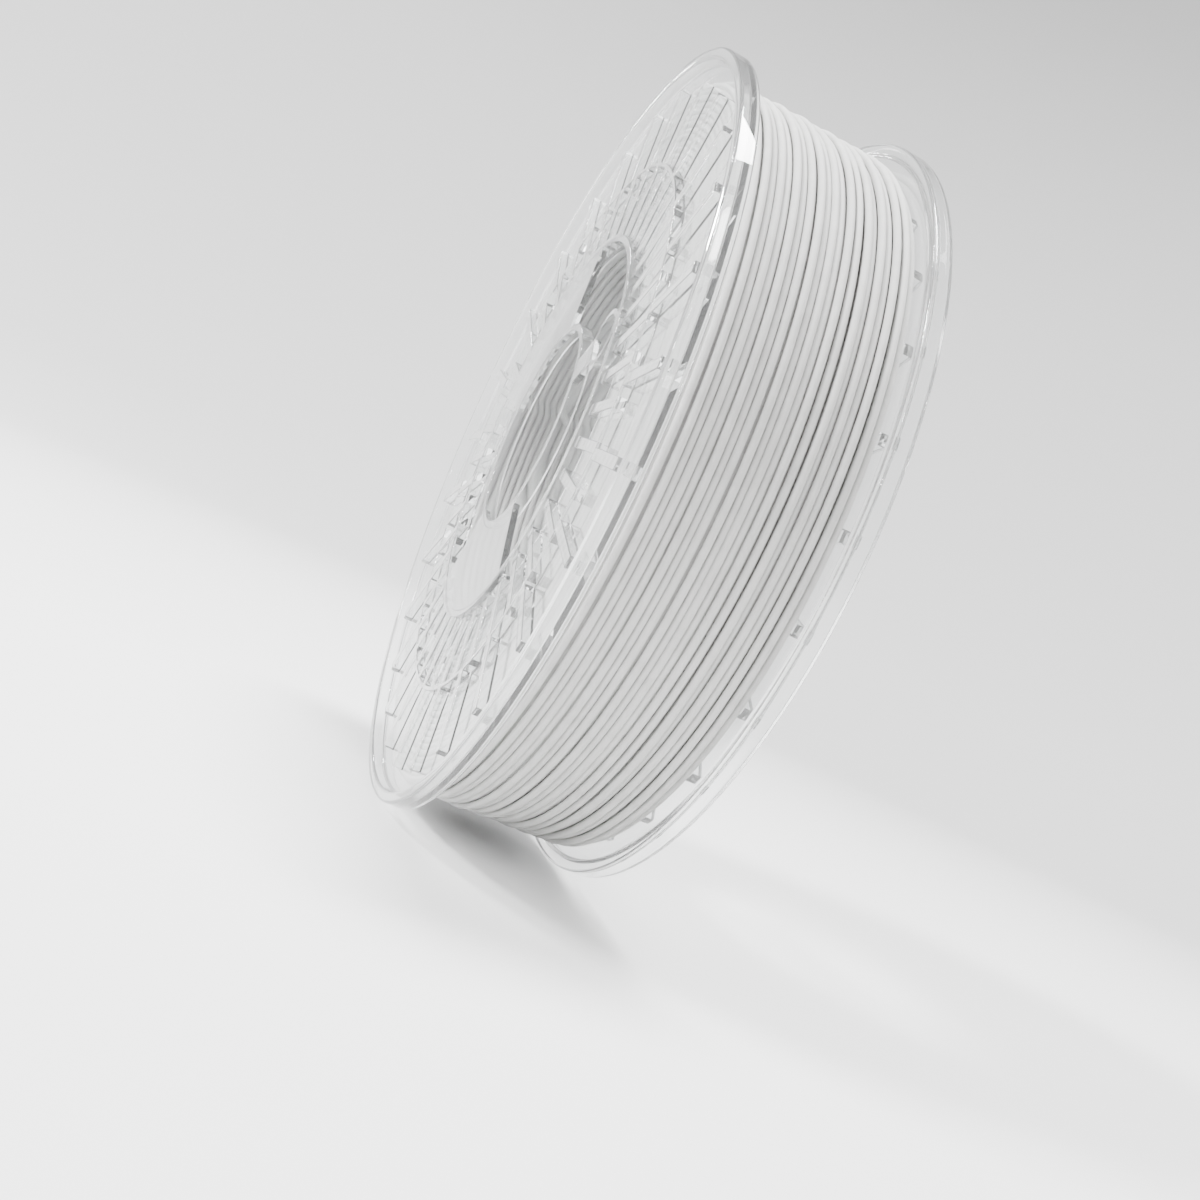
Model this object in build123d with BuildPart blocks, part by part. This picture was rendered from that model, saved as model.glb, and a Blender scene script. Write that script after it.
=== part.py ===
from build123d import *
import os
from math import cos, radians, sin

os.makedirs("parts", exist_ok=True)

# Frame: origin at the centre of the spool, +Y along its axis, +Z up. Millimetres and degrees.
# The near flange is the one at -Y. Angles round the axis run from +X towards +Z.

# Driving dimensions
spool_diameter = 200.0
spool_width = 53.0
bore_diameter = 52.0
barrel_bore_diameter = 100.0
barrel_wall = 2.0
pack_diameter = 190.0

# Flange: depths are measured inwards from its outer face
rim_depth = 4.9
rim_thickness = 3.0
rim_rounding = 0.7
disc_outside = 3.2
disc_inside = 4.2
hub_wall = 2.0
mid_wall_radius = 70.0
mid_wall_thickness = 1.2

# Ribs that stand on the disc: one set inside the middle wall, one outside it
rib_top = 0.75
rib_root = 0.2
inner_rib_count = 43
inner_rib_width = 2.7
inner_rib_angle = -3.5
outer_rib_count = 27
outer_rib_width = 2.9
outer_rib_angle = -4.5
outer_rib_reach = 91.5

# Hub: five equal sectors, two of them closed by a thin plate
sector_count = 5
first_edge_angle = 26.7
closed_sectors = (1, 3)
plate_thickness = 1.6
bore_ring_thickness = 2.0
bore_ring_depth = 3.2
spoke_width = 7.0
spoke_lead = 4.0
socket_radius = 7.0
socket_wall = 1.3

# Barrel and filament
barrel_seat = 0.5
seam_width = 1.2
seam_depth = 0.4
pack_gap = 0.15

# Derived sizes
spool_radius = spool_diameter / 2
half_width = spool_width / 2
bore_radius = bore_diameter / 2
bore_ring_outer = bore_radius + bore_ring_thickness
barrel_inner = barrel_bore_diameter / 2
barrel_outer = barrel_inner + barrel_wall
barrel_half_length = half_width - disc_inside + barrel_seat
rim_inner = spool_radius - rim_thickness
rim_middle = spool_radius - rim_thickness / 2
hub_wall_middle = barrel_inner + hub_wall / 2
mid_wall_middle = mid_wall_radius + mid_wall_thickness / 2
sector_angle = 360 / sector_count
spoke_angle = first_edge_angle + spoke_lead
seam_angle = first_edge_angle + 2 * sector_angle
socket_centre = barrel_inner - socket_radius
outer_face = Plane.XZ.offset(half_width)
rib_plane = Plane.XZ.offset(half_width - rib_top)
rib_height = disc_outside - rib_top + rib_root

# Both halves come from one mould: the far one is turned over about the line along its spoke.
spoke_line = Axis((0, 0, 0), (cos(radians(spoke_angle)), 0, sin(radians(spoke_angle))))


def ring_section(inner, outer, shallow, deep):
    """Half section of a ring: radii along X, depths from the near flange's outer face along Y."""
    with Locations((inner, shallow - half_width)):
        Rectangle(outer - inner, deep - shallow, align=(Align.MIN, Align.MIN))


def radial_ribs(count, width, start, inner, outer):
    """Straight ribs spread evenly round the disc, between two radii."""
    with PolarLocations((inner + outer) / 2, count, start_angle=start):
        Rectangle(outer - inner, width)


def ring_sector(inner, outer, start, sweep):
    """Flat ring sector between two radii."""
    with BuildLine() as outline:
        inside = CenterArc((0, 0), inner, start, sweep)
        outside = CenterArc((0, 0), outer, start, sweep)
        Line(inside @ 0, outside @ 0)
        Line(inside @ 1, outside @ 1)
    make_face(outline.edges())


# Clear flange: rounded rim, recessed disc, hub wall, middle wall and two sets of flat-topped ribs
with BuildPart() as near_flange:
    with BuildSketch(Plane.XY) as rim_section:
        ring_section(rim_inner, spool_radius, 0, rim_depth)
        fillet(rim_section.vertices(), rim_rounding)
    revolve(axis=Axis.Y)
    with BuildSketch(Plane.XY):
        ring_section(barrel_inner, rim_middle, disc_outside, disc_inside)
        ring_section(barrel_inner, barrel_inner + hub_wall, 0, disc_inside)
        ring_section(mid_wall_radius, mid_wall_radius + mid_wall_thickness, rib_top, disc_inside)
    revolve(axis=Axis.Y)
    with BuildSketch(rib_plane):
        radial_ribs(inner_rib_count, inner_rib_width, inner_rib_angle, hub_wall_middle, mid_wall_middle)
        radial_ribs(outer_rib_count, outer_rib_width, outer_rib_angle, mid_wall_middle, outer_rib_reach)
    extrude(amount=-rib_height)
    # The barrel's end sits in this shallow ring groove in the inner face.
    with BuildSketch(Plane.XY):
        ring_section(barrel_inner, barrel_outer, disc_inside - barrel_seat, disc_inside)
    revolve(axis=Axis.Y, mode=Mode.SUBTRACT)

# Collar that runs on the holder's spindle
with BuildPart() as near_bore_ring:
    with BuildSketch(outer_face):
        Circle(bore_ring_outer)
        Circle(bore_radius, mode=Mode.SUBTRACT)
    extrude(amount=-bore_ring_depth)

# Thin plates that close two of the five hub sectors
with BuildPart() as near_hub_plates:
    with BuildSketch(outer_face):
        for sector in closed_sectors:
            start = first_edge_angle + sector * sector_angle
            ring_sector(bore_ring_outer, barrel_inner, start, sector_angle)
    extrude(amount=-plate_thickness)

# Spoke with a round peg socket, between two open sectors
with BuildPart() as near_spoke:
    with BuildSketch(outer_face):
        with PolarLocations((bore_ring_outer + barrel_inner) / 2, 1, start_angle=spoke_angle):
            Rectangle(barrel_inner - bore_ring_outer + 2, spoke_width)
        Circle(barrel_inner, mode=Mode.INTERSECT)
        Circle(bore_ring_outer, mode=Mode.SUBTRACT)
    extrude(amount=-plate_thickness)
    with BuildSketch(outer_face):
        with PolarLocations(socket_centre, 1, start_angle=spoke_angle):
            Circle(socket_radius)
        Circle(barrel_inner, mode=Mode.INTERSECT)
    extrude(amount=-bore_ring_depth)
    with BuildSketch(outer_face):
        with PolarLocations(socket_centre, 1, start_angle=spoke_angle):
            Circle(socket_radius - socket_wall)
    extrude(amount=-bore_ring_depth, mode=Mode.SUBTRACT)

# Clear barrel with one lengthwise seam, a shallow groove inside it
with BuildPart() as barrel:
    with BuildSketch(Plane.XZ):
        Circle(barrel_outer)
        Circle(barrel_inner, mode=Mode.SUBTRACT)
        with PolarLocations(barrel_inner, 1, start_angle=seam_angle):
            Rectangle(2 * seam_depth, seam_width, mode=Mode.SUBTRACT)
    extrude(amount=barrel_half_length, both=True)

# Wound filament, one closed ring between the flanges
with BuildPart() as filament_pack:
    with BuildSketch(Plane.XZ):
        Circle(pack_diameter / 2)
        Circle(barrel_outer + pack_gap, mode=Mode.SUBTRACT)
    extrude(amount=half_width - disc_inside - pack_gap, both=True)

with BuildPart() as far_flange:
    add(near_flange.part.rotate(spoke_line, 180))

with BuildPart() as far_bore_ring:
    add(near_bore_ring.part.rotate(spoke_line, 180))

with BuildPart() as far_hub_plates:
    add(near_hub_plates.part.rotate(spoke_line, 180))

with BuildPart() as far_spoke:
    add(near_spoke.part.rotate(spoke_line, 180))

nodes = {
    "near_flange": near_flange,
    "near_bore_ring": near_bore_ring,
    "near_hub_plates": near_hub_plates,
    "near_spoke": near_spoke,
    "barrel": barrel,
    "filament_pack": filament_pack,
    "far_flange": far_flange,
    "far_bore_ring": far_bore_ring,
    "far_hub_plates": far_hub_plates,
    "far_spoke": far_spoke,
}
for name, node in nodes.items():
    node.part.label = name
    export_step(node.part, f"parts/{name}.step")
    print(name, round(node.part.volume, 1), [round(v, 2) for v in node.part.bounding_box().size])
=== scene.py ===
"""Looks of the clear filament spool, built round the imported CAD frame. Metres, in the frame's own axes."""

from math import cos, pi, radians, sin

import bmesh
import bpy
from mathutils import Matrix, Vector, noise


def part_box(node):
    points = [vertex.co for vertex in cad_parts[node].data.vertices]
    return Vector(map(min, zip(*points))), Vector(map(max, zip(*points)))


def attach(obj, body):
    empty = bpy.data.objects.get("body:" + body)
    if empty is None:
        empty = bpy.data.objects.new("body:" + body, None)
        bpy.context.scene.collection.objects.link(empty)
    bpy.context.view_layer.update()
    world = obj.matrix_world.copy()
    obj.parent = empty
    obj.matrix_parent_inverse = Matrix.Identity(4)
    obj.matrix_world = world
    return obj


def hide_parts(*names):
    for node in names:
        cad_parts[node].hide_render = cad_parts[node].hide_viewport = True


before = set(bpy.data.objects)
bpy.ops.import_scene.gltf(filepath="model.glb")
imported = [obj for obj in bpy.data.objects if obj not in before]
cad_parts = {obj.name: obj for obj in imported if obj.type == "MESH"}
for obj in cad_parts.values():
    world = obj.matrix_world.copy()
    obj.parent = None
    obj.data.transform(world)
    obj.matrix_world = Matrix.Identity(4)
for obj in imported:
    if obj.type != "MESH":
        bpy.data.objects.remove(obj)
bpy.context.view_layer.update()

MM = 0.001

# ---------------------------------------------------------------- sizes from the frame
HUB_WALL = 2.0 * MM
BORE_RING_THICKNESS = 2.0 * MM

flange_low, flange_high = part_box("near_flange")
barrel_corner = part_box("barrel")[1]
bore_ring_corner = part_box("near_bore_ring")[1]
pack_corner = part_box("filament_pack")[1]
spool_radius = flange_high.z
half_width = -flange_low.y
floor_height = flange_low.z
barrel_outer = barrel_corner.x
barrel_half = barrel_corner.y
bore_ring_outer = bore_ring_corner.x
pack_radius = pack_corner.x
pack_half = pack_corner.y
hub_wall_inner = barrel_outer - HUB_WALL
bore_radius = bore_ring_outer - BORE_RING_THICKNESS

# Flange moulding, as in the CAD: depths are measured inwards from its outer face.
RIM_DEPTH = 4.9 * MM
RIM_THICKNESS = 3.0 * MM
RIM_ROUNDING = 0.7 * MM
DISC_OUTSIDE = 3.2 * MM
DISC_INSIDE = 4.2 * MM
MID_WALL_RADIUS = 70.0 * MM
MID_WALL_THICKNESS = 1.2 * MM
BARREL_SEAT = 0.5 * MM

# Ribs on the disc: one set inside the middle wall, one outside it
RIB_TOP = 0.75 * MM
RIB_ROOT = 0.2 * MM
INNER_RIB_COUNT = 43
INNER_RIB_WIDTH = 2.7 * MM
INNER_RIB_ANGLE = radians(-3.5)
OUTER_RIB_COUNT = 27
OUTER_RIB_WIDTH = 2.9 * MM
OUTER_RIB_ANGLE = radians(-4.5)
OUTER_RIB_REACH = 91.5 * MM

# Hub: five equal sectors, two of them closed by a thin plate. Angles run from +X towards +Z.
SECTOR_ANGLE = radians(72)
FIRST_EDGE_ANGLE = radians(26.7)
CLOSED_SECTORS = (1, 3)
PLATE_THICKNESS = 1.6 * MM
BORE_RING_DEPTH = 3.2 * MM
SPOKE_ANGLE = radians(30.7)
SPOKE_WIDTH = 7.0 * MM
SOCKET_RADIUS = 7.0 * MM
SOCKET_WALL = 1.3 * MM

# Barrel seam
SEAM_ANGLE = radians(170.7)
SEAM_WIDTH = 1.2 * MM
SEAM_DEPTH = 0.4 * MM

# How the clear pieces are meshed: solids that join overlap a little, and those that only meet keep a hair
# of slack between them.
LATHE_SEGMENTS = 360
OVERLAP = 0.5 * MM
SLACK = 0.03 * MM
CUT_MARGIN = 1.0 * MM
EDGE_ROUND = 0.25 * MM
LARGEST_INSET = 0.95 * EDGE_ROUND
FINE_ROUND = 0.1 * MM
ROUND_STEPS = 3
SHARP_ANGLE = radians(35)

# Winding: the strand steps over to its next turn in a short share of a turn, and strays a little on its way.
STRAND_RADIUS = 0.89 * MM
PACK_GAP = 0.15 * MM
INNER_PITCH = 1.90 * MM
LAYER_STEP = 1.65 * MM
UNDER_LAYER_DROP = 1.75 * MM
END_TURN_WIDTH = 1.56 * MM
END_TURN_STAGGER = 0.25 * MM
CROSSOVER_SHARE = 0.012
WANDER_SCALE = 1.3

# The outer layer from the near flange to the far one. Proud strands show wide, sunken ones narrow.
OUTER_ORDER = "M W N M N W N M W N M N W M W T W N W M"
STRAND_LOOKS = {
    "W": {"width": 2.50 * MM, "drop": 0.00 * MM},
    "M": {"width": 2.05 * MM, "drop": 0.30 * MM},
    "N": {"width": 1.45 * MM, "drop": 0.80 * MM},
    "T": {"width": 0.85 * MM, "drop": 1.20 * MM},
}

# Centre lines: the radius of three layers, and how far their turns reach along the axis
outer_layer = pack_radius - STRAND_RADIUS
under_layer = outer_layer - UNDER_LAYER_DROP
first_layer = barrel_outer + PACK_GAP + STRAND_RADIUS
layer_reach = pack_half - STRAND_RADIUS


# ---------------------------------------------------------------- object helpers
def link(obj):
    bpy.context.scene.collection.objects.link(obj)
    return obj


def new_object(name, verts, faces):
    mesh = bpy.data.meshes.new(name)
    mesh.from_pydata(verts, [], faces)
    mesh.validate()
    return link(bpy.data.objects.new(name, mesh))


def smooth(obj):
    for face in obj.data.polygons:
        face.use_smooth = True


def finish_piece(obj, material, nodes):
    """Gives a piece its material and its body, and hides the CAD nodes it stands for."""
    obj.data.materials.clear()
    obj.data.materials.append(material)
    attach(obj, "root")
    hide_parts(*nodes)


# ---------------------------------------------------------------- node helpers
# Noise values mostly lie between these two.
NOISE_LOW = 0.3
NOISE_HIGH = 0.7


def new_material(name):
    material = bpy.data.materials.new(name)
    material.use_nodes = True
    tree = material.node_tree
    tree.nodes.clear()
    return material, tree


def add_node(tree, kind, **settings):
    node = tree.nodes.new(kind)
    for key, value in settings.items():
        setattr(node, key, value)
    return node


def set_inputs(node, **values):
    for key, value in values.items():
        node.inputs[key.replace("_", " ")].default_value = value


def object_noise(tree, scale, detail=3.0, roughness=0.5):
    """Noise in the frame's own metres, so that grain keeps its real size on every piece."""
    place = add_node(tree, "ShaderNodeTexCoord")
    grain = add_node(tree, "ShaderNodeTexNoise")
    set_inputs(grain, Scale=scale, Detail=detail, Roughness=roughness)
    tree.links.new(place.outputs["Object"], grain.inputs["Vector"])
    return grain.outputs["Fac"]


def spread(tree, factor, low, high):
    """Maps a noise value onto low to high."""
    scaled = add_node(tree, "ShaderNodeMapRange")
    set_inputs(scaled, From_Min=NOISE_LOW, From_Max=NOISE_HIGH, To_Min=low, To_Max=high)
    tree.links.new(factor, scaled.inputs["Value"])
    return scaled.outputs["Result"]


def two_tone(tree, factor, dark, light):
    """Blends from a dark to a light colour with a noise value."""
    ramp = add_node(tree, "ShaderNodeValToRGB")
    ramp.color_ramp.elements[0].position = NOISE_LOW
    ramp.color_ramp.elements[0].color = (*dark, 1)
    ramp.color_ramp.elements[1].position = NOISE_HIGH
    ramp.color_ramp.elements[1].color = (*light, 1)
    tree.links.new(factor, ramp.inputs["Fac"])
    return ramp.outputs["Color"]


def bump(tree, height, distance, strength, under=None):
    """Relief from a noise value, laid over another bump if one is given."""
    node = add_node(tree, "ShaderNodeBump")
    set_inputs(node, Strength=strength, Distance=distance)
    tree.links.new(height, node.inputs["Height"])
    if under is not None:
        tree.links.new(under, node.inputs["Normal"])
    return node.outputs["Normal"]


# ---------------------------------------------------------------- materials
def clear_plastic():
    """Moulded clear polystyrene: smooth, with faint flow waves and fine handling haze, and a small diffuse
    share. Shadow rays take the transparent shader instead, which dims the light a little at every wall."""
    material, tree = new_material("clear_plastic_moulded")
    shader = add_node(tree, "ShaderNodeBsdfPrincipled")
    set_inputs(shader, Transmission_Weight=0.965, IOR=1.53)
    flow = object_noise(tree, scale=45.0)
    haze = object_noise(tree, scale=900.0, detail=2.0)
    tint = two_tone(tree, flow, dark=(0.955, 0.965, 0.965), light=(0.99, 0.995, 0.995))
    tree.links.new(tint, shader.inputs["Base Color"])
    tree.links.new(spread(tree, haze, low=0.01, high=0.03), shader.inputs["Roughness"])
    waves = bump(tree, flow, distance=0.1 * MM, strength=0.08)
    skin = bump(tree, haze, distance=0.004 * MM, strength=0.10, under=waves)
    tree.links.new(skin, shader.inputs["Normal"])
    passing = add_node(tree, "ShaderNodeBsdfTransparent")
    set_inputs(passing, Color=(0.70, 0.70, 0.70, 1))
    rays = add_node(tree, "ShaderNodeLightPath")
    mix = add_node(tree, "ShaderNodeMixShader")
    output = add_node(tree, "ShaderNodeOutputMaterial")
    tree.links.new(rays.outputs["Is Shadow Ray"], mix.inputs["Fac"])
    tree.links.new(shader.outputs["BSDF"], mix.inputs[1])
    tree.links.new(passing.outputs["BSDF"], mix.inputs[2])
    tree.links.new(mix.outputs["Shader"], output.inputs["Surface"])
    return material


def matte_filament():
    """Off-white filament: dry matte skin with a fine gritty grain and faint mottling along each strand."""
    material, tree = new_material("filament_matte")
    dark = (0.47, 0.47, 0.46)
    light = (0.53, 0.53, 0.52)
    shader = add_node(tree, "ShaderNodeBsdfPrincipled")
    set_inputs(shader, Specular_IOR_Level=0.3)
    mottle = object_noise(tree, scale=260.0)
    grain = object_noise(tree, scale=5200.0, detail=2.0, roughness=0.7)
    tree.links.new(two_tone(tree, mottle, dark, light), shader.inputs["Base Color"])
    tree.links.new(spread(tree, mottle, low=0.62, high=0.80), shader.inputs["Roughness"])
    tree.links.new(bump(tree, grain, distance=0.08 * MM, strength=0.7), shader.inputs["Normal"])
    output = add_node(tree, "ShaderNodeOutputMaterial")
    tree.links.new(shader.outputs["BSDF"], output.inputs["Surface"])
    return material


# ---------------------------------------------------------------- clear mouldings
def solid(name, verts, faces):
    """A new object with all its faces turned outwards."""
    piece = new_object(name, verts, faces)
    shape = bmesh.new()
    shape.from_mesh(piece.data)
    bmesh.ops.recalc_face_normals(shape, faces=shape.faces)
    shape.to_mesh(piece.data)
    shape.free()
    return piece


def lathe(name, outline, segments=LATHE_SEGMENTS):
    """A closed outline of (radius, y) points turned once round the spool's axis."""
    size = len(outline)
    verts = []
    faces = []
    for step in range(segments):
        angle = 2 * pi * step / segments
        here = step * size
        there = (step + 1) % segments * size
        for index, (radius, y) in enumerate(outline):
            beside = (index + 1) % size
            verts.append((radius * cos(angle), y, radius * sin(angle)))
            faces.append((here + index, here + beside, there + beside, there + index))
    return solid(name, verts, faces)


def round_corners(outline):
    """Turns the right-angled corners of a closed outline of (x, y, corner radius) points into short arcs."""
    rounded = []
    for index, (x, y, corner) in enumerate(outline):
        here = Vector((x, y))
        before = (Vector(outline[index - 1][:2]) - here).normalized() * corner
        after = (Vector(outline[(index + 1) % len(outline)][:2]) - here).normalized() * corner
        for step in range(ROUND_STEPS + 1):
            turn = pi / 2 * step / ROUND_STEPS
            point = here + before * (1 - sin(turn)) + after * (1 - cos(turn))
            rounded.append((point.x, point.y))
    return rounded


def stack(verts, faces, rings):
    """Adds a closed solid through a list of (y, footprint) rings to a list of verts and faces."""
    base = len(verts)
    count = len(rings[0][1])
    for y, footprint in rings:
        verts.extend((x, y, z) for x, z in footprint)
    for ring in range(len(rings) - 1):
        first = base + ring * count
        for index in range(count):
            beside = (index + 1) % count
            faces.append((first + index, first + beside, first + count + beside, first + count + index))
    faces.append([base + index for index in range(count)])
    faces.append([len(verts) - 1 - index for index in range(count)])


def bar_footprint(angle, start, stop, width):
    """A straight bar that points away from the axis, with rounded corners."""
    along = Vector((cos(angle), sin(angle)))
    across = Vector((-sin(angle), cos(angle))) * (width / 2)
    corners = [along * start - across, along * stop - across, along * stop + across, along * start + across]
    return round_corners([(corner.x, corner.y, EDGE_ROUND) for corner in corners])


def bar(verts, faces, angle, start, stop, width, top, root):
    """Adds a bar that stands on the disc, with its outer edges rounded. Top and root are depths."""
    rings = [(near_y(root), bar_footprint(angle, start, stop, width))]
    for step in range(ROUND_STEPS + 1):
        turn = pi / 2 * step / ROUND_STEPS
        inset = LARGEST_INSET * (1 - cos(turn))
        depth = top + EDGE_ROUND * (1 - sin(turn))
        rings.append((near_y(depth), bar_footprint(angle, start + inset, stop - inset, width - 2 * inset)))
    stack(verts, faces, rings)


def arc_points(radius, first, last):
    """Points on an arc round the axis, about one degree apart."""
    steps = max(2, round((last - first) / radians(1)))
    angles = [first + (last - first) * step / steps for step in range(steps + 1)]
    return [(radius * cos(angle), radius * sin(angle)) for angle in angles]


def near_y(depth):
    """The y of a depth below the outer face of the near flange."""
    return depth - half_width


def combine(base, other, operation):
    """Joins another solid to base, or cuts it out, so that no wall is left inside the clear plastic."""
    change = base.modifiers.new(operation, "BOOLEAN")
    change.operation = operation
    change.solver = "EXACT"
    change.object = other
    view = bpy.context.evaluated_depsgraph_get()
    mesh = bpy.data.meshes.new_from_object(base.evaluated_get(view))
    base.modifiers.clear()
    base.data = mesh
    bpy.data.objects.remove(other)


def flange_body():
    """Disc, rolled rim, hub wall and middle wall, as one turned outline of (radius, depth, corner radius)."""
    rim_inner = spool_radius - RIM_THICKNESS
    wall_outer = MID_WALL_RADIUS + MID_WALL_THICKNESS
    seat = DISC_INSIDE - BARREL_SEAT
    outline = [
        (hub_wall_inner, 0, EDGE_ROUND),
        (barrel_outer, 0, EDGE_ROUND),
        (barrel_outer, DISC_OUTSIDE, EDGE_ROUND),
        (MID_WALL_RADIUS, DISC_OUTSIDE, EDGE_ROUND),
        (MID_WALL_RADIUS, RIB_TOP, EDGE_ROUND),
        (wall_outer, RIB_TOP, EDGE_ROUND),
        (wall_outer, DISC_OUTSIDE, EDGE_ROUND),
        (rim_inner, DISC_OUTSIDE, RIM_ROUNDING),
        (rim_inner, 0, RIM_ROUNDING),
        (spool_radius, 0, RIM_ROUNDING),
        (spool_radius, RIM_DEPTH, RIM_ROUNDING),
        (rim_inner, RIM_DEPTH, EDGE_ROUND),
        (rim_inner, DISC_INSIDE, EDGE_ROUND),
        (barrel_outer, DISC_INSIDE, FINE_ROUND),
        (barrel_outer, seat, FINE_ROUND),
        (hub_wall_inner, seat, EDGE_ROUND),
    ]
    return lathe("near_clear_flange", [(radius, near_y(depth)) for radius, depth in round_corners(outline)])


def rib_set(count, width, first, start, stop):
    """A set of straight flat-topped ribs, spread evenly round the disc."""
    verts = []
    faces = []
    for index in range(count):
        angle = first + 2 * pi * index / count
        bar(verts, faces, angle, start, stop, width, RIB_TOP + SLACK, DISC_OUTSIDE + RIB_ROOT)
    return solid("ribs", verts, faces)


def inner_ribs():
    """The ribs between the hub wall and the middle wall."""
    start = (hub_wall_inner + barrel_outer) / 2
    stop = MID_WALL_RADIUS + MID_WALL_THICKNESS / 2 + RIB_ROOT
    return rib_set(INNER_RIB_COUNT, INNER_RIB_WIDTH, INNER_RIB_ANGLE, start, stop)


def outer_ribs():
    """The ribs from the middle wall out towards the rim."""
    start = MID_WALL_RADIUS + MID_WALL_THICKNESS / 2 - RIB_ROOT
    return rib_set(OUTER_RIB_COUNT, OUTER_RIB_WIDTH, OUTER_RIB_ANGLE, start, OUTER_RIB_REACH)


def hub_plates():
    """Thin plates that close two of the hub's five sectors."""
    verts = []
    faces = []
    inner = bore_ring_outer - OVERLAP
    outer = hub_wall_inner + OVERLAP
    for sector in CLOSED_SECTORS:
        first = FIRST_EDGE_ANGLE + sector * SECTOR_ANGLE
        last = first + SECTOR_ANGLE
        footprint = arc_points(outer, first, last) + arc_points(inner, first, last)[::-1]
        stack(verts, faces, [(near_y(0), footprint), (near_y(PLATE_THICKNESS), footprint)])
    return solid("hub_plates", verts, faces)


def spoke():
    """The narrow spoke between two of the open sectors."""
    verts = []
    faces = []
    inner = bore_ring_outer - OVERLAP
    outer = hub_wall_inner + OVERLAP
    bar(verts, faces, SPOKE_ANGLE, inner, outer, SPOKE_WIDTH, 0, PLATE_THICKNESS)
    return solid("spoke", verts, faces)


def round_post(name, radius, low, high):
    """A short post in the place of the peg socket."""
    place = Vector((cos(SPOKE_ANGLE), sin(SPOKE_ANGLE))) * (hub_wall_inner - SOCKET_RADIUS)
    footprint = [(place.x + x, place.y + z) for x, z in arc_points(radius, 0, 2 * pi)[:-1]]
    verts = []
    faces = []
    stack(verts, faces, [(low, footprint), (high, footprint)])
    return solid(name, verts, faces)


def bore_ring():
    """The collar round the spindle."""
    outline = [
        (bore_radius, 0, EDGE_ROUND),
        (bore_ring_outer, 0, EDGE_ROUND),
        (bore_ring_outer, BORE_RING_DEPTH, EDGE_ROUND),
        (bore_radius, BORE_RING_DEPTH, EDGE_ROUND),
    ]
    return lathe("bore_ring", [(radius, near_y(depth)) for radius, depth in round_corners(outline)])


def flanges():
    """The two flange mouldings. Both come from one mould, so the far one is the near one turned over."""
    ring_depth = near_y(BORE_RING_DEPTH)
    near = flange_body()
    combine(near, inner_ribs(), "UNION")
    combine(near, outer_ribs(), "UNION")
    combine(near, hub_plates(), "UNION")
    combine(near, bore_ring(), "UNION")
    combine(near, spoke(), "UNION")
    combine(near, round_post("socket", SOCKET_RADIUS, -half_width, ring_depth), "UNION")
    hole_radius = SOCKET_RADIUS - SOCKET_WALL
    hole = round_post("socket_hole", hole_radius, -half_width - CUT_MARGIN, ring_depth + CUT_MARGIN)
    combine(near, hole, "DIFFERENCE")
    far = link(bpy.data.objects.new("far_clear_flange", near.data.copy()))
    far.data.transform(Matrix.Rotation(pi, 4, Vector((cos(SPOKE_ANGLE), 0, sin(SPOKE_ANGLE)))))
    for side, piece in (("near", near), ("far", far)):
        shade_crisp(piece)
        parts = ["flange", "bore_ring", "hub_plates", "spoke"]
        finish_piece(piece, CLEAR, [side + "_" + part for part in parts])


def shade_crisp(piece):
    """Flat walls stay flat to look through, rounds stay smooth and moulded corners stay crisp."""
    smooth(piece)
    piece.data.set_sharp_from_angle(angle=SHARP_ANGLE)
    weighted = piece.modifiers.new("normals", "WEIGHTED_NORMAL")
    weighted.keep_sharp = True


def barrel():
    """The clear barrel with its seam groove, a hair slack in both grooves so that no clear walls coincide."""
    inner = hub_wall_inner + SLACK
    outer = barrel_outer - SLACK
    end = barrel_half - SLACK
    corners = [(inner, -end), (outer, -end), (outer, end), (inner, end)]
    piece = lathe("clear_barrel", round_corners([(radius, y, FINE_ROUND) for radius, y in corners]))
    verts = []
    faces = []
    groove = bar_footprint(SEAM_ANGLE, inner - CUT_MARGIN, inner + SEAM_DEPTH, SEAM_WIDTH)
    stack(verts, faces, [(-half_width, groove), (half_width, groove)])
    combine(piece, solid("seam", verts, faces), "DIFFERENCE")
    shade_crisp(piece)
    finish_piece(piece, CLEAR, ["barrel"])


# ---------------------------------------------------------------- filament
def ease(share):
    """A smooth step from 0 to 1, for a share of a turn that may lie outside it."""
    share = min(1.0, max(0.0, share))
    return share * share * (3 - 2 * share)


def wander(turn, angle, seed):
    """How far a strand strays from its place at an angle round the spool, as a pair in the range -1 to 1.
    The turns are far apart in the noise, and so are the two halves of the pair."""
    turn_stride = 3.7
    pair_offset = Vector((11.3, 5.1, 7.7))
    place = Vector((cos(angle) * WANDER_SCALE, sin(angle) * WANDER_SCALE, turn * turn_stride + seed))
    return noise.noise(place), noise.noise(place + pair_offset)


def strand_path(turns, seed, stray, segments):
    """The (angle, radius, y) points of one strand wound through a list of (radius, y) turns. It keeps to its
    turn round the spool and steps over to the next one at the barrel's seam."""
    path = []
    for turn, (radius, y) in enumerate(turns):
        last = turn == len(turns) - 1
        next_radius, next_y = turns[turn] if last else turns[turn + 1]
        for step in range(segments + (1 if last else 0)):
            share = step / segments
            angle = SEAM_ANGLE + 2 * pi * share
            cross = ease((share - 1 + CROSSOVER_SHARE) / CROSSOVER_SHARE)
            here = wander(turn, angle, seed)
            there = here if last else wander(turn + 1, angle, seed)
            out = radius + stray * here[0]
            along = y + stray * here[1]
            out += cross * (next_radius + stray * there[0] - out)
            along += cross * (next_y + stray * there[1] - along)
            path.append((angle, out, along))
    return path


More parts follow.
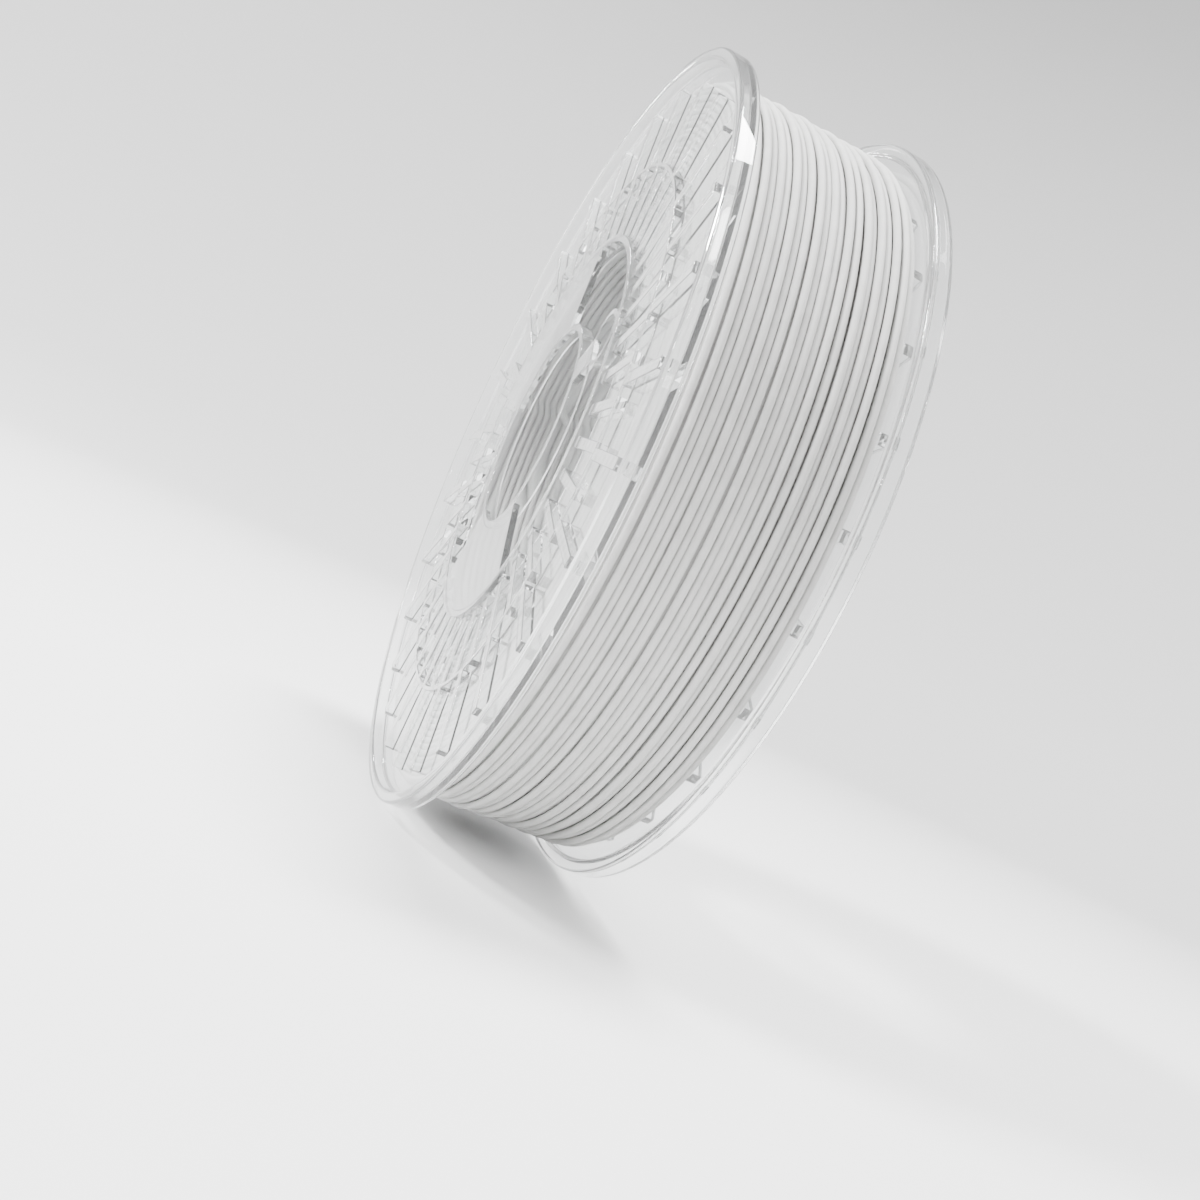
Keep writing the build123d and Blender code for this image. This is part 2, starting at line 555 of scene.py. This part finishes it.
def wind(name, turns, seed, stray, segments, sides, thickness=2 * STRAND_RADIUS):
    """One closed strand with a round section, wound through a list of (radius, y) turns."""
    path = strand_path(turns, seed, stray, segments)
    verts = []
    for angle, out, along in path:
        for side in range(sides):
            around = 2 * pi * side / sides
            reach = out + thickness / 2 * cos(around)
            verts.append((reach * cos(angle), along + thickness / 2 * sin(around), reach * sin(angle)))
    faces = []
    for step in range(len(path) - 1):
        for side in range(sides):
            here = step * sides + side
            beside = step * sides + (side + 1) % sides
            faces.append((here, beside, beside + sides, here + sides))
    faces.append(list(range(sides)))
    faces.append([len(verts) - 1 - side for side in range(sides)])
    piece = new_object(name, verts, faces)
    smooth(piece)
    return piece


def outer_turns():
    """Centre lines of the outer layer, from the near flange to the far one."""
    looks = [STRAND_LOOKS[letter] for letter in OUTER_ORDER.split()]
    total = sum(look["width"] for look in looks)
    y = -total / 2
    turns = []
    for look in looks:
        turns.append((outer_layer - look["drop"], y + look["width"] / 2))
        y += look["width"]
    return turns


def even_turns(radius, pitch, reach):
    """Centre lines of a layer whose turns lie evenly, between -reach and reach."""
    count = int(2 * reach / pitch) + 1
    first = -(count - 1) * pitch / 2
    return [(radius, first + pitch * index) for index in range(count)]


def side_turns(side, innermost, outermost):
    """The end turn of every layer, seen through a flange. Every second layer ends a little short."""
    count = int((outermost - innermost) / LAYER_STEP) + 1
    face = pack_half - END_TURN_WIDTH / 2
    turns = []
    for index in range(count):
        short = END_TURN_STAGGER * (index % 2)
        turns.append((innermost + LAYER_STEP * index, side * (face - short)))
    return turns


def filament_core():
    """The turns hidden inside, as one ring that fills the pack behind the strands that show."""
    end_drop = 1.0 * MM
    corner = 0.5 * MM
    inner = first_layer + 2 * STRAND_RADIUS
    outer = under_layer
    reach = layer_reach - end_drop
    outline = [
        (inner, -reach + corner),
        (inner + corner, -reach),
        (outer - corner, -reach),
        (outer, -reach + corner),
        (outer, reach - corner),
        (outer - corner, reach),
        (inner + corner, reach),
        (inner, reach - corner),
    ]
    piece = lathe("filament_core", outline, segments=180)
    smooth(piece)
    return piece


def filament():
    """The wound filament: the outer layer, the one under it, the first one and both ends of every layer."""
    under_turns = even_turns(under_layer, INNER_PITCH, layer_reach)
    first_turns = even_turns(first_layer, INNER_PITCH, layer_reach)
    near_turns = side_turns(-1, first_layer, under_layer)
    far_turns = side_turns(1, first_layer, under_layer)
    ends = {"stray": 0.12 * MM, "segments": 200, "sides": 8, "thickness": END_TURN_WIDTH}
    pieces = [
        wind("strands_outer_layer", outer_turns(), seed=1.0, stray=0.16 * MM, segments=240, sides=12),
        wind("strands_under_layer", under_turns, seed=2.0, stray=0.12 * MM, segments=200, sides=8),
        wind("strands_first_layer", first_turns, seed=3.0, stray=0.03 * MM, segments=180, sides=10),
        wind("strands_near_side", near_turns, seed=4.0, **ends),
        wind("strands_far_side", far_turns, seed=5.0, **ends),
        filament_core(),
    ]
    for piece in pieces:
        finish_piece(piece, FILAMENT, ["filament_pack"])


# ---------------------------------------------------------------- camera, floor and light
def camera():
    """The photograph's viewing angle: just above the floor, past the near flange, tilted over."""
    heading = radians(164.0)
    pitch = radians(-0.69)
    roll = radians(-23.7)
    aim = Vector((0, 0.0084, -0.0333))
    distance = 0.3678
    forward = Vector((cos(heading) * cos(pitch), sin(heading) * cos(pitch), sin(pitch)))
    level = forward.cross(Vector((0, 0, 1))).normalized()
    upright = level.cross(forward)
    right = level * cos(roll) - upright * sin(roll)
    up = upright * cos(roll) + level * sin(roll)
    data = bpy.data.cameras.new("camera")
    data.lens = 42.71
    data.sensor_width = 36.0
    data.clip_start = 0.01
    eye = link(bpy.data.objects.new("camera", data))
    turn = Matrix((right, up, -forward)).transposed()
    eye.matrix_world = Matrix.Translation(aim - forward * distance) @ turn.to_4x4()
    bpy.context.scene.camera = eye


def floor_mesh():
    """A round floor that sweeps up into a low wall far from the spool."""
    flat = 0.9
    sweep = 0.6
    wall = 0.7
    sweep_steps = 12
    segments = 96
    profile = [(flat, 0.0)]
    for step in range(1, sweep_steps + 1):
        bend = pi / 2 * step / sweep_steps
        profile.append((flat + sweep * sin(bend), sweep * (1 - cos(bend))))
    profile.append((flat + sweep, sweep + wall))
    verts = [(0, 0, floor_height)]
    faces = []
    for ring, (radius, rise) in enumerate(profile):
        for step in range(segments):
            angle = 2 * pi * step / segments
            verts.append((radius * cos(angle), radius * sin(angle), floor_height + rise))
            here = 1 + ring * segments + step
            ahead = 1 + ring * segments + (step + 1) % segments
            if ring == 0:
                faces.append((0, here, ahead))
            else:
                faces.append((here - segments, here, ahead, ahead - segments))
    return new_object("pale_floor", verts, faces)


def floor_material():
    """Pale matte floor with painted shade: darker up the wall, standing in for the dimmer light there, and
    darker with distance on the camera's side (+X), a painted dim room for the clear plastic to reflect.
    """
    material, tree = new_material("pale_floor")
    shader = add_node(tree, "ShaderNodeBsdfPrincipled")
    set_inputs(shader, Roughness=0.8, Specular_IOR_Level=0.2)
    place = add_node(tree, "ShaderNodeTexCoord")
    split = add_node(tree, "ShaderNodeSeparateXYZ")
    tree.links.new(place.outputs["Object"], split.inputs["Vector"])
    # Painted shade: the colour darkens up the wall, where the light would be dimmer.
    wall_painted_shade = add_node(tree, "ShaderNodeMapRange")
    set_inputs(wall_painted_shade, From_Min=0.0, From_Max=0.9, To_Min=0.80, To_Max=0.54)
    tree.links.new(split.outputs["Z"], wall_painted_shade.inputs["Value"])
    # Painted shade: the colour darkens away from the spool on the camera's side, a painted dim room seen in
    # the clear plastic and bouncing less light.
    forward = add_node(tree, "ShaderNodeMapRange")
    set_inputs(forward, From_Min=0.35, From_Max=1.3, To_Min=1.0, To_Max=0.35)
    tree.links.new(split.outputs["X"], forward.inputs["Value"])
    # The two painted shades multiplied into the floor's colour.
    painted_floor_shade = add_node(tree, "ShaderNodeMath", operation="MULTIPLY")
    tree.links.new(wall_painted_shade.outputs["Result"], painted_floor_shade.inputs[0])
    tree.links.new(forward.outputs["Result"], painted_floor_shade.inputs[1])
    tree.links.new(painted_floor_shade.outputs["Value"], shader.inputs["Base Color"])
    output = add_node(tree, "ShaderNodeOutputMaterial")
    tree.links.new(shader.outputs["BSDF"], output.inputs["Surface"])
    return material


def floor():
    """The floor the spool stands on, which isn't part of the object."""
    piece = floor_mesh()
    smooth(piece)
    piece.data.materials.append(floor_material())


def area_light(name, place, size, power, target=(0, 0, 0)):
    """A rectangular lamp that faces its target."""
    data = bpy.data.lights.new(name, "AREA")
    data.shape = "RECTANGLE"
    data.size, data.size_y = size
    data.energy = power
    lamp = link(bpy.data.objects.new(name, data))
    lamp.location = place
    lamp.rotation_mode = "QUATERNION"
    lamp.rotation_quaternion = (Vector(target) - Vector(place)).to_track_quat("-Z", "Y")


def lights():
    """Dim even room light, a key light from the left and a soft one from above."""
    world = bpy.data.worlds.new("studio")
    bpy.context.scene.world = world
    world.use_nodes = True
    set_inputs(world.node_tree.nodes["Background"], Color=(1, 1, 1, 1), Strength=0.4)
    key_target = (0, 0, -0.05)
    area_light("key_left", place=(0.02, -0.85, 0.80), size=(0.30, 0.12), power=33, target=key_target)
    area_light("top_soft", place=(-0.05, 0.10, 1.1), size=(0.4, 0.3), power=40)


def glint_lights():
    """Two thirds of a ring of small lamps, low and high by turns, for white glints on the clear plastic."""
    count = 9
    ring_radius = 1.05
    first_heading = -160
    heading_step = 30
    heights = (0.35, 0.75)
    for index in range(count):
        heading = radians(first_heading + heading_step * index)
        place = (ring_radius * cos(heading), ring_radius * sin(heading), heights[index % 2])
        area_light("glint_" + str(index), place=place, size=(0.06, 0.06), power=1.8)


# ---------------------------------------------------------------- the scene
CLEAR = clear_plastic()
FILAMENT = matte_filament()

camera()
floor()
lights()
glint_lights()
flanges()
barrel()
filament()
